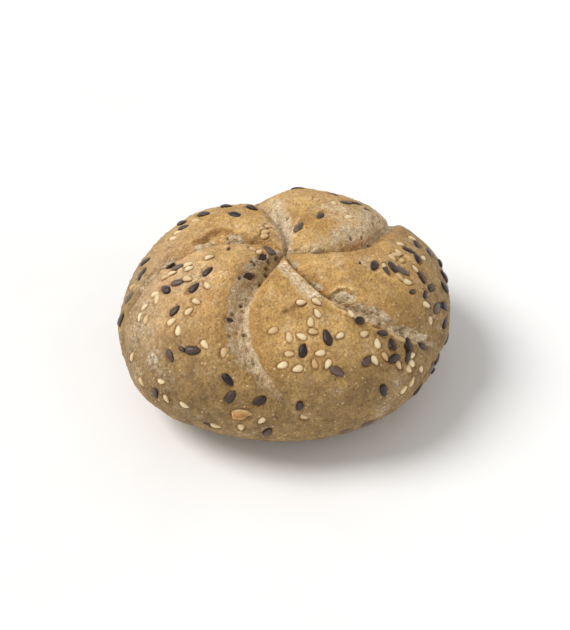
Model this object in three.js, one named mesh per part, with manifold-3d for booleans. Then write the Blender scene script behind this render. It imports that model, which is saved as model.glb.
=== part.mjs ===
// A multigrain kaiser roll. It is one baked piece of bread, with five puffed lobes whose edges turn
// round a central pit and overlap like the blades of a pinwheel. Sesame seeds, linseeds and one
// sunflower kernel are baked into its crust, each a solid of its own, half sunk in a pocket.
//
// Units are millimetres and +Z is up. The origin is the middle of the flat spot that the roll rests
// on. A place on the crust is a bearing and a tilt, both in degrees, seen from a hub inside the roll:
// the bearing turns counter-clockwise from +X as seen from above, and the tilt opens from straight up.

import * as THREE from 'three';
import { mergeVertices } from 'three/addons/utils/BufferGeometryUtils.js';
import Module from 'manifold-3d';

// ---- the roll as a whole
const LENGTH = 105; // along X, before the lobes puff out
const DEPTH = 98; // along Y
const HUB_HEIGHT = 20.5; // hub above the surface that the roll rests on
const CROWN_HEIGHT = 30; // dome above the hub
const BELLY_DEPTH = 22; // rounding below the hub, of which the flat spot cuts the last part off
const CROWN_POWER = 2.12; // superellipse powers: 2 is an ellipse, more is squarer
const BELLY_POWER = 2.5;
const PIT_DEPTH = 2.6; // dip round the centre, where the five folds meet
const PIT_TILT = 20; // how far the dip spreads

// How the outline, seen from above, departs from an ellipse: waves per turn, share of the radius
// and the bearing of the wave's crest.
const OUTLINE_WAVES = [
  { waves: 1, share: 0.054, crest: -75 },
  { waves: 2, share: 0.05, crest: 45 },
  { waves: 3, share: 0.011, crest: -50 },
  { waves: 4, share: 0.009, crest: 35 },
];

// ---- the folds, in the order of their bearings. Each runs out from the pit and turns as it goes
// down. Its bearing, its depth and the half width of its floor are given at the tilts below. Its two
// walls rise over the lengths given, lowWall towards lower bearings. Puff is the swell of the lobe
// that follows it.
const FOLD_TILTS = [0, 20, 40, 60, 80, 100];
const FOLDS = [
  { // between the back lobe and the back left lobe
    bearings: [80, 98, 108, 118, 130, 142],
    depths: [3, 4, 5, 5.5, 3.5, 0],
    floors: [0.2, 1.2, 1.8, 1.5, 1, 0.3],
    lowWall: 5,
    highWall: 6,
    puff: 4.6,
  },
  { // left
    bearings: [150, 167, 173, 182, 194, 206],
    depths: [3, 3, 2.6, 2, 1, 0],
    floors: [0.2, 0.8, 1.2, 1.2, 0.8, 0.3],
    lowWall: 4,
    highWall: 4,
    puff: 4.4,
  },
  { // front left, the widest and deepest
    bearings: [244, 237, 237, 249, 270, 288],
    depths: [3, 6.5, 5.5, 4, 1.8, 0],
    floors: [0.2, 1.8, 2.5, 2.2, 1, 0.3],
    lowWall: 4.5,
    highWall: 3.5,
    puff: 3.3,
  },
  { // front right
    bearings: [275, 287, 298, 314, 334, 350],
    depths: [3, 4, 4, 3.8, 2, 0],
    floors: [0.1, 0.2, 0.8, 2.4, 1.5, 0.3],
    lowWall: 2.5,
    highWall: 7,
    puff: 3.7,
  },
  { // back right
    bearings: [333, 349, 366, 387, 405, 420],
    depths: [3, 4, 5, 4.5, 2.5, 0],
    floors: [0.1, 0.3, 1.2, 1.5, 1, 0.3],
    lowWall: 2.5,
    highWall: 9,
    puff: 2.9,
  },
];
const FOLD_END_TILT = FOLD_TILTS[FOLD_TILTS.length - 1];
const NARROW_FLOOR = 0.05; // least half width of a fold's floor
const WALL_GROWTH = 12; // distance from the axis where a fold's walls reach their full length
const NARROW_WALL = 0.25; // share of a wall's length that is left at the pit
const PUFF_ROUNDNESS = 0.6; // under 1, so a lobe rises quickly from its fold and is flat on top
const PUFF_FALL = 0.7; // the same from the pit down to the end of the folds

// ---- the crust's mesh
const CROWN_TILTS = [6, 10, 14, 18, 22, 26, 31, 36, 42, 48, 54, 60, 66, 72, 78, 84, 89, 94, 100];
const BELLY_RINGS = 5; // from the end of the folds down to the rim of the flat spot
// columns across one lobe, from its fold at 0 to the next one at 1, closer near the folds
const LOBE_COLUMNS = [0, 0.05, 0.11, 0.19, 0.29, 0.4, 0.52, 0.64, 0.75, 0.84, 0.91, 0.96];

// ---- seeds: whole length, width and thickness, and how far the middle stands above the crust
const LINSEED = { size: [4.9, 2.5, 1.3], lift: 0.15, taper: 0.3, color: 0x3d2c2c, roughness: 0.35 };
const SESAME = { size: [3.5, 2.2, 1.1], lift: 0.15, taper: 0.35, color: 0xe4cf9c, roughness: 0.5 };
const KERNEL = { size: [6.6, 3.8, 2.4], lift: 0.1, taper: 0.3, color: 0xc79a5c, roughness: 0.6 };
const POCKET_GAP = 0.3; // room that its pocket leaves all round a seed
const SEED_STEPS = 5; // faces along a seed
const SEED_SIDES = 7; // faces round it
const SIZE_SPREAD = 0.09; // how much seeds of one kind differ in size, as a share
const SIZE_STRIDE = 2.4; // radians of the wave that hands the sizes out, from one seed to the next
const SEAT_STEP = 2.5; // degrees each way over which the crust's slope under a seed is taken

// Where each seed lies: bearing, tilt and turn. The turn is where its pointed end looks: 0 is towards
// higher bearings, 90 is downhill.
const LINSEED_PLACES = [
  [154, 57, 265], [178, 70, 225], [190, 53, 270], [207, 42, 250], [201, 59, 155], [212, 50, 262],
  [185, 77, 265], [215, 60, 268], [233, 67, 340], [226, 72, 35], [224, 87, 280], [249, 73, 42],
  [251, 78, 300], [261, 79, 150], [275, 81, 110], [264, 92, 300], [290, 58, 276], [278, 61, 285],
  [345, 46, 183], [309, 57, 183], [315, 65, 223], [317, 70, 331], [303, 70, 339], [306, 82, 80],
  [353, 70, 35], [347, 75, 10], [5, 64, 180], [18, 68, 207], [65, 20, 100], [331, 80, 60],
];
const SESAME_PLACES = [
  [162, 59, 275], [193, 58, 285], [197, 48, 285], [216, 46, 190], [203, 63, 30], [207, 69, 221],
  [218, 63, 285], [223, 64, 232], [244, 65, 90], [210, 82, 270], [236, 85, 15], [281, 42, 0],
  [289, 48, 268], [284, 51, 285], [264, 54, 150], [272, 56, 262], [278, 56, 210], [284, 55, 20],
  [272, 62, 0], [285, 63, 182], [269, 66, 160], [287, 67, 127], [296, 59, 170], [307, 53, 283],
  [311, 72, 85], [346, 57, 107], [5, 56, 330], [319, 81, 60],
];
const KERNEL_PLACE = [255, 84, 350];

const wasm = await Module();
wasm.setup();

const { degToRad, clamp, lerp } = THREE.MathUtils;

// ---- the surface of the crust

// A smooth value at any tilt from the values at the fold tilts.
function alongFold(values, tilt) {
  const last = values.length - 1;
  const step = FOLD_TILTS[1] - FOLD_TILTS[0];
  const place = clamp(tilt / step, 0, last);
  const index = Math.min(Math.floor(place), last - 1);
  const t = place - index;
  const b = values[index];
  const c = values[index + 1];
  const a = index > 0 ? values[index - 1] : 2 * b - c;
  const d = index + 2 <= last ? values[index + 2] : 2 * c - b;
  const bend = 2 * a - 5 * b + 4 * c - d;
  return b + 0.5 * t * (c - a + t * (bend + t * (3 * (b - c) + d - a)));
}

// Horizontal reach of the plain egg shape at its widest, at one bearing.
function reachAt(bearing) {
  let outline = 1;
  for (const { waves, share, crest } of OUTLINE_WAVES) {
    outline += share * Math.cos(waves * degToRad(bearing - crest));
  }
  const x = Math.cos(degToRad(bearing)) / (LENGTH / 2);
  const y = Math.sin(degToRad(bearing)) / (DEPTH / 2);
  return outline / Math.hypot(x, y);
}

// Distance from the hub to the plain egg shape.
function eggRadius(bearing, tilt) {
  const out = Math.sin(degToRad(tilt)) / reachAt(bearing);
  const up = Math.cos(degToRad(tilt));
  const power = up >= 0 ? CROWN_POWER : BELLY_POWER;
  const height = up >= 0 ? CROWN_HEIGHT : BELLY_DEPTH;
  const sum = Math.abs(out) ** power + Math.abs(up / height) ** power;
  return sum ** (-1 / power);
}

// How deep one fold cuts at a place whose distance from the axis is given.
function foldCut(fold, bearing, tilt, across) {
  if (tilt > FOLD_END_TILT) return 0;
  const turned = alongFold(fold.bearings, tilt + 1) - alongFold(fold.bearings, tilt - 1);
  const slant = Math.hypot(1, Math.sin(degToRad(tilt)) * (turned / 2));
  const aside = THREE.MathUtils.euclideanModulo(
    bearing - alongFold(fold.bearings, tilt) + 180, 360) - 180;
  const distance = (degToRad(aside) * across) / slant;
  const floor = Math.max(alongFold(fold.floors, tilt), NARROW_FLOOR);
  const wall = (distance < 0 ? fold.lowWall : fold.highWall) * clamp(across / WALL_GROWTH, NARROW_WALL, 1);
  const climb = clamp((Math.abs(distance) - floor) / wall, 0, 1);
  const depth = Math.max(alongFold(fold.depths, tilt), 0);
  return depth * (1 - Math.sqrt(1 - (1 - climb) ** 2));
}

// How far the lobe swells at a place between two folds.
function lobePuff(bearing, tilt) {
  const gaps = FOLDS.map((fold) => THREE.MathUtils.euclideanModulo(
    bearing - alongFold(fold.bearings, tilt), 360));
  const behind = Math.min(...gaps);
  const ahead = 360 - Math.max(...gaps);
  const across = Math.sin((Math.PI * behind) / (behind + ahead)) ** PUFF_ROUNDNESS;
  const down = Math.sin(Math.PI * clamp(tilt / FOLD_END_TILT, 0, 1)) ** PUFF_FALL;
  return FOLDS[gaps.indexOf(behind)].puff * across * down;
}

function crustPoint(bearing, tilt) {
  const egg = eggRadius(bearing, tilt);
  const across = egg * Math.sin(degToRad(tilt));
  const cut = Math.max(...FOLDS.map((fold) => foldCut(fold, bearing, tilt, across)));
  const pit = PIT_DEPTH * Math.exp(-((tilt / PIT_TILT) ** 2));
  const radius = egg + lobePuff(bearing, tilt) - cut - pit;
  const point = new THREE.Vector3();
  point.setFromSphericalCoords(radius, degToRad(tilt), 0);
  const out = point.z;
  const height = Math.max(HUB_HEIGHT + point.y, 0);
  return point.set(out * Math.cos(degToRad(bearing)), out * Math.sin(degToRad(bearing)), height);
}

// Tilt at which the belly meets the surface that the roll rests on.
function rimTilt(bearing) {
  const share = (1 - (HUB_HEIGHT / BELLY_DEPTH) ** BELLY_POWER) ** (1 / BELLY_POWER);
  return 180 - THREE.MathUtils.radToDeg(Math.atan2(reachAt(bearing) * share, HUB_HEIGHT));
}

// ---- the crust's mesh: rings of points from the pit down, whose columns follow the folds

function columnBearing(column, tilt) {
  const lobe = Math.floor(column / LOBE_COLUMNS.length);
  const share = LOBE_COLUMNS[column % LOBE_COLUMNS.length];
  const start = alongFold(FOLDS[lobe].bearings, tilt);
  const next = (lobe + 1) % FOLDS.length;
  const end = alongFold(FOLDS[next].bearings, tilt) + (next === 0 ? 360 : 0);
  return lerp(start, end, share);
}

function crustRings() {
  const columns = FOLDS.length * LOBE_COLUMNS.length;
  const rings = CROWN_TILTS.map((tilt) => Array.from({ length: columns }, (_, column) => (
    crustPoint(columnBearing(column, tilt), tilt))));
  for (let ring = 1; ring <= BELLY_RINGS; ring += 1) {
    rings.push(Array.from({ length: columns }, (_, column) => {
      const bearing = columnBearing(column, FOLD_END_TILT);
      const point = crustPoint(bearing, lerp(FOLD_END_TILT, rimTilt(bearing), ring / BELLY_RINGS));
      return ring === BELLY_RINGS ? point.setZ(0) : point;
    }));
  }
  return rings;
}

function crustGeometry() {
  const rings = crustRings();
  const columns = rings[0].length;
  const points = [crustPoint(0, 0), ...rings.flat(), new THREE.Vector3(0, 0, 0)];
  const bottom = points.length - 1;
  const indices = [];
  for (let column = 0; column < columns; column += 1) {
    const next = (column + 1) % columns;
    indices.push(0, 1 + column, 1 + next);
    for (let ring = 0; ring + 1 < rings.length; ring += 1) {
      const upper = 1 + ring * columns;
      const lower = upper + columns;
      indices.push(upper + column, lower + column, lower + next);
      indices.push(upper + column, lower + next, upper + next);
    }
    const rim = 1 + (rings.length - 1) * columns;
    indices.push(rim + column, bottom, rim + next);
  }
  const geometry = new THREE.BufferGeometry().setFromPoints(points);
  geometry.setIndex(indices);
  return geometry;
}

// ---- seeds

// A flattened drop along X, pointed at +X, with its broad face up.
function seedGeometry([length, width, thickness], taper) {
  const profile = [];
  for (let step = 0; step <= SEED_STEPS; step += 1) {
    const along = -Math.cos((Math.PI * step) / SEED_STEPS);
    const inside = step > 0 && step < SEED_STEPS;
    const radius = inside ? Math.sqrt(1 - along ** 2) * (1 - taper * along) : 0;
    profile.push(new THREE.Vector2(radius, along));
  }
  const geometry = new THREE.LatheGeometry(profile, SEED_SIDES);
  geometry.rotateZ(-Math.PI / 2);
  geometry.scale(length / 2, width / 2, thickness / 2);
  geometry.deleteAttribute('normal');
  geometry.deleteAttribute('uv');
  return mergeVertices(geometry);
}

// Place and attitude of a seed: its length along the turn, its broad face along the crust.
function seatMatrix([bearing, tilt, turn], lift) {
  const sideways = crustPoint(bearing + SEAT_STEP, tilt).sub(crustPoint(bearing - SEAT_STEP, tilt));
  const downhill = crustPoint(bearing, tilt + SEAT_STEP).sub(crustPoint(bearing, tilt - SEAT_STEP));
  const outward = downhill.clone().cross(sideways).normalize();
  sideways.normalize();
  const down = sideways.clone().cross(outward);
  const along = sideways.multiplyScalar(Math.cos(degToRad(turn)));
  along.addScaledVector(down, Math.sin(degToRad(turn))).normalize();
  const aside = outward.clone().cross(along);
  const matrix = new THREE.Matrix4().makeBasis(along, aside, outward);
  return matrix.setPosition(crustPoint(bearing, tilt).addScaledVector(outward, lift));
}

function makeSeed(name, kind, place, scale) {
  const material = new THREE.MeshStandardMaterial({
    color: kind.color,
    roughness: kind.roughness,
    metalness: 0,
  });
  const size = kind.size.map((side) => side * scale);
  const seed = new THREE.Mesh(seedGeometry(size, kind.taper), material);
  seed.name = name;
  seed.applyMatrix4(seatMatrix(place, kind.lift));
  const room = size.map((side) => side + 2 * POCKET_GAP);
  seed.userData.pocket = seedGeometry(room, kind.taper).applyMatrix4(seed.matrix);
  return seed;
}

function makeSeeds(name, kind, places) {
  return places.map((place, index) => {
    const scale = 1 + SIZE_SPREAD * Math.sin(SIZE_STRIDE * index);
    return makeSeed(`${name}_${String(index + 1).padStart(2, '0')}`, kind, place, scale);
  });
}

// ---- the roll: the crust with a pocket cut for each seed

function toSolid(geometry) {
  return new wasm.Manifold(new wasm.Mesh({
    numProp: 3,
    vertProperties: geometry.attributes.position.array,
    triVerts: Uint32Array.from(geometry.index.array),
  }));
}

function toGeometry(solid) {
  const mesh = solid.getMesh();
  const geometry = new THREE.BufferGeometry();
  geometry.setAttribute('position', new THREE.BufferAttribute(mesh.vertProperties, mesh.numProp));
  geometry.setIndex(new THREE.BufferAttribute(mesh.triVerts, 1));
  geometry.computeVertexNormals();
  return geometry;
}

function makeRoll(seeds) {
  let solid = toSolid(crustGeometry());
  for (const seed of seeds) {
    solid = solid.subtract(toSolid(seed.userData.pocket));
  }
  const material = new THREE.MeshStandardMaterial({ color: 0xb98f58, roughness: 0.8, metalness: 0 });
  const roll = new THREE.Mesh(toGeometry(solid), material);
  roll.name = 'bread_roll';
  return roll;
}

const seeds = [
  ...makeSeeds('linseed', LINSEED, LINSEED_PLACES),
  ...makeSeeds('sesame_seed', SESAME, SESAME_PLACES),
  makeSeed('sunflower_kernel', KERNEL, KERNEL_PLACE, 1),
];
const kaiserRoll = new THREE.Group();
kaiserRoll.add(makeRoll(seeds), ...seeds);

export default kaiserRoll;
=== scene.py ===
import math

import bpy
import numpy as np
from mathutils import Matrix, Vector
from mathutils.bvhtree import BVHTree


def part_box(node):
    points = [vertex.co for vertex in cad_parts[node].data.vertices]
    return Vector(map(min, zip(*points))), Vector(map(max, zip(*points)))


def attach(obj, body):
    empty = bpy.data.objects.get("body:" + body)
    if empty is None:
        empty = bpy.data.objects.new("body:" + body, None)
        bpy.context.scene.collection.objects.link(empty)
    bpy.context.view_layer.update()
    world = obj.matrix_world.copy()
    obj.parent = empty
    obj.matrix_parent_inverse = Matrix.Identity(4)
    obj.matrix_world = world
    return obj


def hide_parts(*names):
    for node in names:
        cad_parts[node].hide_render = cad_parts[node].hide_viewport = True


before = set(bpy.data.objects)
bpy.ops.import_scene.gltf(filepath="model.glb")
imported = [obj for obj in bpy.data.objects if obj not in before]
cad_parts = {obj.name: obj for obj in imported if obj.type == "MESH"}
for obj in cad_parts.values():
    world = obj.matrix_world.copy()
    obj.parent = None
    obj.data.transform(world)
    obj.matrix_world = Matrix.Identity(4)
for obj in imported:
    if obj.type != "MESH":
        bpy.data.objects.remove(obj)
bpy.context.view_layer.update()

# A multigrain kaiser roll. The crust is one fine mesh close to the CAD solid's surface, with the relief
# of skin, torn crumb and wrinkles. Finer seeds replace those of the CAD model, and four more pieces
# hold the seeds that it leaves out. Lengths are millimetres and angles degrees, until a mesh is made.
# A place on the crust is a bearing and a tilt, seen from a hub inside the roll: the bearing turns
# counter-clockwise from +X as seen from above, and the tilt opens from straight up.

MM = 0.001

# ---- the roll's surface, close to the CAD solid's

LENGTH = 105.0
DEPTH = 98.0
HUB_HEIGHT = 20.5
HUB = np.array([0, 0, HUB_HEIGHT])
CROWN_HEIGHT = 30.0
BELLY_DEPTH = 22.0
CROWN_POWER = 2.12
BELLY_POWER = 2.5
PIT_DEPTH = 2.6
PIT_TILT = 20.0
# Waves of the outline from above: how many per turn, share of the radius and a crest's bearing.
OUTLINE_WAVES = [(1, 0.054, -75), (2, 0.05, 45), (3, 0.011, -50), (4, 0.009, 35)]
FOLD_TILTS = [0, 20, 40, 60, 80, 100]
NARROW_FLOOR = 0.05
WALL_GROWTH = 12.0
NARROW_WALL = 0.25
PUFF_ROUNDNESS = 0.6
PUFF_FALL = 0.7

# Each fold's shape at the fold tilts, some of them a little finer than in the CAD solid, and where
# torn crumb lies in it all along: how much, and how far to each side of the fold's middle line.
FOLDS = {
    "back": dict(
        bearings=[80, 91, 100, 106, 120, 136], depths=[3, 4, 5.5, 6.5, 4, 0],
        floors=[0.2, 1.2, 1.8, 1.5, 1, 0.3], walls=(5, 6), puff=4.6,
        crumb=[0.9, 0.8, 0.6, 0.4, 0.3, 0], low_reach=[0.5, 2, 4, 4, 2, 1],
        high_reach=[0.5, 1, 1.5, 2, 2, 1]),
    "left": dict(
        bearings=[150, 167, 173, 182, 194, 206], depths=[3, 3.2, 3, 2.4, 1.2, 0],
        floors=[0.2, 1, 1.6, 1.5, 1, 0.3], walls=(4, 1.7), puff=4.4, crumb=None),
    "front_left": dict(
        bearings=[244, 237, 237, 249, 270, 288], depths=[3, 6.5, 5.5, 4, 1.8, 0],
        floors=[0.2, 1.8, 2.5, 2.2, 1, 0.3], walls=(4.5, 3.5), puff=3.3,
        crumb=[0.8, 1, 1, 1, 0.25, 0], low_reach=[1.5, 4.6, 3.7, 3.3, 1.6, 1],
        high_reach=[0.5, 2.6, 3.2, 3, 1.2, 1]),
    "front_right": dict(
        bearings=[276, 290, 302, 317, 334, 348], depths=[3, 4, 4, 3.4, 0.9, 0],
        floors=[0.1, 0.2, 0.6, 1.6, 1.2, 0.3], walls=(1.7, 7), puff=3.7,
        crumb=[0.6, 0.6, 0.5, 0.6, 0.5, 0], low_reach=[0.3, 0.4, 0.5, 0.6, 0.5, 0.5],
        high_reach=[0.5, 0.8, 1, 1.2, 1, 1]),
    "back_right": dict(
        bearings=[333, 349, 366, 387, 405, 420], depths=[3, 4, 4.8, 3.4, 1.6, 0],
        floors=[0.1, 0.3, 1.2, 1.5, 1, 0.3], walls=(1.9, 9), puff=2.9,
        crumb=[0.5, 0.6, 0.6, 0.6, 0.4, 0], low_reach=[0.2, 0.3, 0.4, 0.4, 0.4, 0.3],
        high_reach=[0.5, 5, 10, 9, 5, 2]),
}

# Torn patches beside the folds: the fold, the tilt and distance from it of the patch's middle, then
# the patch's half length along the fold and its half width.
CRUMB_PATCHES = [
    ("front_right", 15, 0.8, 2.5, 1.2), ("front_right", 35, 1.2, 3.0, 0.8),
    ("front_right", 46, 2.4, 3.0, 2.4), ("front_right", 58, 1.8, 6.0, 2.0),
    ("front_right", 73, 0.4, 5.5, 1.6), ("left", 30, -1.5, 5.0, 1.3), ("left", 45, -1.5, 4.0, 1.1),
    ("left", 52, 0.2, 1.3, 0.8), ("left", 60, -2.0, 2.2, 0.8), ("left", 67, -1.5, 4.0, 0.9),
    ("back", 22, 0.5, 3.5, 2.0), ("back", 36, 0.5, 5.0, 2.5), ("back", 47, -1.5, 4.0, 3.0),
]

FOLD_END_TILT = FOLD_TILTS[-1]
MEAN_RADIUS = 48.0  # of the crust, from the hub

# Flour dusted over the crust: bearing, tilt, reach and strength. The first, low on the left side, is
# partly flour and partly a painted sheen.
DUSTINGS = [
    (208, 72, 9.0, 0.5), (203, 45, 4.0, 0.5), (100, 40, 6.0, 0.5), (52, 42, 5.0, 0.7),
    (345, 42, 3.0, 0.7), (120, 16, 4.0, 0.6), (220, 75, 2.2, 0.9), (305, 92, 3.0, 0.5),
    (312, 82, 2.5, 0.6), (190, 24, 2.5, 0.5),
]

# Wide swellings of the surface, or low places: bearing, tilt, reach and height.
SWELLS = [
    (111, 62, 9.0, -2.8), (86, 56, 10.0, 1.3), (46, 66, 9.0, -1.0), (18, 62, 9.0, -0.8),
    (252, 98, 14.0, -1.3), (345, 84, 8.0, 1.8),
]

# Thin ridges beside the folds: the fold, the distances from it at the ridge's start, middle and end,
# the first and last tilt, the height, the half width of the steep side and how brown it is, 0 to 1.
CRESTS = [
    ("front_right", (-2.0, -2.0, -2.0), 8, 78, 0.65, 0.5, 0.1),
    ("back_right", (-2.3, -2.3, -2.3), 8, 80, 0.5, 0.5, 0.6),
    ("front_left", (5.0, 5.0, 4.0), 20, 74, 0.4, 0.8, 1),
    ("front_left", (-6.6, -6.6, -6.0), 24, 62, 0.35, 1.2, 0.5),
    ("left", (2.8, 2.9, 2.6), 20, 66, 0.6, 0.5, 0.4),
    ("left", (-3.2, -3.6, -2.4), 52, 74, 0.5, 0.5, 0.5),
    ("back", (4.5, 4.5, 4.0), 24, 60, 0.3, 1.2, 1),
]
OUTER_SPREAD = 2.4  # how much wider a ridge is on the side away from its fold

# Small tears: places along each, with its hollow on their right hand seen from outside, then its
# lip's height, its hollow's depth and width, and how brown its lip is.
TEARS = [
    ([(266, 47), (275, 44), (283, 42)], 0.6, 0.5, 3.5, 0.8),
    ([(171, 53), (168, 45), (164, 42), (160, 38), (160, 34), (162, 28)], 1.3, 0.7, 3.2, 1),
    ([(184, 67), (180, 62), (178, 58)], 0.7, 0.5, 2.0, 0.6),
    ([(306, 44), (309, 41), (313, 41), (317, 44), (318, 49)], 0.45, 0.7, 3.4, 0),
]
LIP_WIDTH = 0.55  # half width of a torn lip

SHEEN_PLACE = (190, 68, 21.0)  # bearing, tilt and reach of a painted sheen that makes one side of the crust paler and pinker
SHADE_PLACE = (233, 79, 12.0)  # and of a patch of painted shade on its darkest side


def smooth_step(low, high, value):
    """0 below low, 1 above high and an S curve between; low may be the larger."""
    t = np.clip((value - low) / (high - low), 0, 1)
    return t * t * (3 - 2 * t)


def unit(vectors):
    return vectors / np.linalg.norm(vectors, axis=-1, keepdims=True)


def along_fold(values, tilt):
    """A smooth value at any tilt from the values at the fold tilts."""
    padded = np.array([2 * values[0] - values[1], *values, 2 * values[-1] - values[-2]], float)
    last = len(values) - 1
    place = np.clip(tilt / (FOLD_TILTS[1] - FOLD_TILTS[0]), 0, last - 1e-9)
    index = place.astype(int)
    t = place - index
    a, b, c, d = (padded[index + step] for step in range(4))
    return b + 0.5 * t * (c - a + t * (2 * a - 5 * b + 4 * c - d + t * (3 * (b - c) + d - a)))


def reach_at(bearing):
    """Horizontal reach of the plain egg shape at its widest."""
    outline = 1 + sum(
        share * np.cos(np.radians(waves * (bearing - crest))) for waves, share, crest in OUTLINE_WAVES)
    x = np.cos(np.radians(bearing)) / (LENGTH / 2)
    y = np.sin(np.radians(bearing)) / (DEPTH / 2)
    return outline / np.hypot(x, y)


def egg_radius(bearing, tilt):
    """Distance from the hub to the plain egg shape."""
    out = np.sin(np.radians(tilt)) / reach_at(bearing)
    up = np.cos(np.radians(tilt))
    power = np.where(up >= 0, CROWN_POWER, BELLY_POWER)
    height = np.where(up >= 0, CROWN_HEIGHT, BELLY_DEPTH)
    return (np.abs(out) ** power + np.abs(up / height) ** power) ** (-1 / power)


def fold_distance(fold, bearing, tilt, across):
    """Signed distance to a fold's middle line, positive towards higher bearings."""
    turned = along_fold(fold["bearings"], tilt + 1) - along_fold(fold["bearings"], tilt - 1)
    slant = np.hypot(1, np.sin(np.radians(tilt)) * turned / 2)
    aside = (bearing - along_fold(fold["bearings"], tilt) + 180) % 360 - 180
    return np.radians(aside) * across / slant


def fold_cut(fold, distance, tilt, across):
    """How deep one fold cuts at a distance from its middle line."""
    floor = np.maximum(along_fold(fold["floors"], tilt), NARROW_FLOOR)
    low_wall, high_wall = fold["walls"]
    wall = np.where(distance < 0, low_wall, high_wall) * np.clip(across / WALL_GROWTH, NARROW_WALL, 1)
    climb = np.clip((np.abs(distance) - floor) / wall, 0, 1)
    depth = np.where(tilt > FOLD_END_TILT, 0, np.maximum(along_fold(fold["depths"], tilt), 0))
    return depth * (1 - np.sqrt(1 - (1 - climb) ** 2))


def lobe_puff(bearing, tilt):
    """How far the lobe swells at a place between two folds."""
    gaps = np.array([(bearing - along_fold(f["bearings"], tilt)) % 360 for f in FOLDS.values()])
    behind = gaps.min(0)
    ahead = 360 - gaps.max(0)
    puffs = np.array([fold["puff"] for fold in FOLDS.values()])[gaps.argmin(0)]
    across = np.sin(np.pi * behind / (behind + ahead)) ** PUFF_ROUNDNESS
    down = np.sin(np.pi * np.clip(tilt / FOLD_END_TILT, 0, 1)) ** PUFF_FALL
    return puffs * across * down


def crust_points(bearing, tilt):
    """Places on the plain surface, without relief, in millimetres."""
    egg = egg_radius(bearing, tilt)
    across = egg * np.sin(np.radians(tilt))
    cut = np.max([
        fold_cut(fold, fold_distance(fold, bearing, tilt, across), tilt, across)
        for fold in FOLDS.values()], axis=0)
    pit = PIT_DEPTH * np.exp(-((tilt / PIT_TILT) ** 2))
    radius = egg + lobe_puff(bearing, tilt) - cut - pit
    for middle_bearing, middle_tilt, reach, height in SWELLS:
        aside = across * np.radians((bearing - middle_bearing + 180) % 360 - 180)
        away = np.hypot(aside, egg * np.radians(tilt - middle_tilt))
        radius = radius + height * np.exp(-((away / reach) ** 2))
    out = radius * np.sin(np.radians(tilt))
    height = np.maximum(HUB_HEIGHT + radius * np.cos(np.radians(tilt)), 0)
    return np.stack(
        [out * np.cos(np.radians(bearing)), out * np.sin(np.radians(bearing)), height], axis=-1)


def rim_tilt(bearing):
    """Tilt at which the belly meets the surface that the roll rests on."""
    share = (1 - (HUB_HEIGHT / BELLY_DEPTH) ** BELLY_POWER) ** (1 / BELLY_POWER)
    return 180 - np.degrees(np.arctan2(reach_at(bearing) * share, HUB_HEIGHT))


# ---- noise

HASH_PRIMES = np.array([73856093, 19349663, 83492791])
HASH_MIX = 1274126177
HASH_SEED_STEP = 374761393
HASH_SHIFTS = (13, 16)
HASH_RANGE = 2 ** 31


def hashed(cells, seed):
    """An even value from 0 to 1 for each whole-numbered cell."""
    mixed = (cells * HASH_PRIMES).sum(-1) + seed * HASH_SEED_STEP
    for shift in HASH_SHIFTS:
        mixed = (mixed ^ (mixed >> shift)) * HASH_MIX
    return (mixed & (HASH_RANGE - 1)) / HASH_RANGE


def noise(points, size, seed):
    """Smooth noise from -1 to 1 whose bumps are about size across."""
    scaled = points / size
    cells = np.floor(scaled).astype(np.int64)
    t = scaled - cells
    t = t ** 3 * (t * (t * 6 - 15) + 10)
    total = 0
    for corner in np.ndindex(2, 2, 2):
        weight = np.prod(np.where(corner, t, 1 - t), axis=-1)
        total = total + weight * hashed(cells + np.array(corner), seed)
    return 2 * total - 1


def nearest_cell(points, size, seed):
    """Distance to the nearest of the points strewn one in each cell, as a share of size, and that
    point's own value from 0 to 1."""
    scaled = points / size
    cells = np.floor(scaled).astype(np.int64)
    best = np.full(len(points), np.inf)
    owner = np.zeros(len(points))
    for step in np.ndindex(3, 3, 3):
        cell = cells + np.array(step) - 1
        spot = cell + np.stack([hashed(cell, seed + axis) for axis in range(3)], axis=-1)
        distance = np.linalg.norm(scaled - spot, axis=-1)
        closer = distance < best
        owner = np.where(closer, hashed(cell, seed + 3), owner)
        best = np.where(closer, distance, best)
    return best, owner


# ---- seeds: where they lie

SEED_SIZES = {  # length, width, thickness and taper towards the pointed end
    "linseed": (4.9, 2.55, 1.35, 0.26),
    "sesame": (3.5, 2.2, 1.15, 0.3),
    "kernel": (6.8, 3.9, 2.6, 0.25),
}

# Seeds besides those in the CAD model: bearing, tilt and turn, and for some of them their size
# against the usual one and how far they stand out of the crust. A turn of 0 points a seed towards
# higher bearings, and 90 downhill.
MORE_LINSEEDS = [
    (137, 36, 265), (130, 48, 255, 1.1, 0.4), (185, 57, 280), (202, 54, 295), (229, 68, 10, 0.5),
    (120, 36, 249, 1, 0.3), (142, 53, 265, 1.1, 0.4), (198, 10, 153, 1.05), (214, 16, 280, 0.75),
    (225, 31, 150, 0.8), (238, 54, 20, 0.6), (222, 15, 0, 0.4), (52, 32, 74, 0.8), (83, 58, 180),
    (64, 57, 20), (53, 53, 107), (50, 58, 110), (44, 60, 110, 0.8), (16, 73, 200), (10, 62, 100),
    (346, 51, 126), (350, 53, 140), (351, 57, 90), (354, 65, 130), (347, 68, 0, 0.75),
    (352, 79, 60, 1, 0.4), (349, 91, 300, 1, 0.5), (15, 79, 200, 1, 0.5), (336, 95, 30, 1, 0.4),
    (343, 63, 30, 0.6), (351, 77, 40), (346, 81, 0), (314, 74, 188), (321, 77, 335), (324, 74, 335),
    (290, 70, 40), (301, 96, 350), (293, 97, 350), (333, 91, 330), (324, 94, 330), (338, 91, 340),
    (7, 78, 280, 1, 0.5), (0, 77, 270, 1, 0.4), (171, 70, 270, 1, 0.4), (190, 83, 270, 1, 0.4),
    (356, 22, 60, 0.8), (190, 30, 0, 0.45), (342, 40, 0, 0.3), (243, 92, 20, 0.55),
    (148, 62, 270, 1, 0.4),
]
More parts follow.
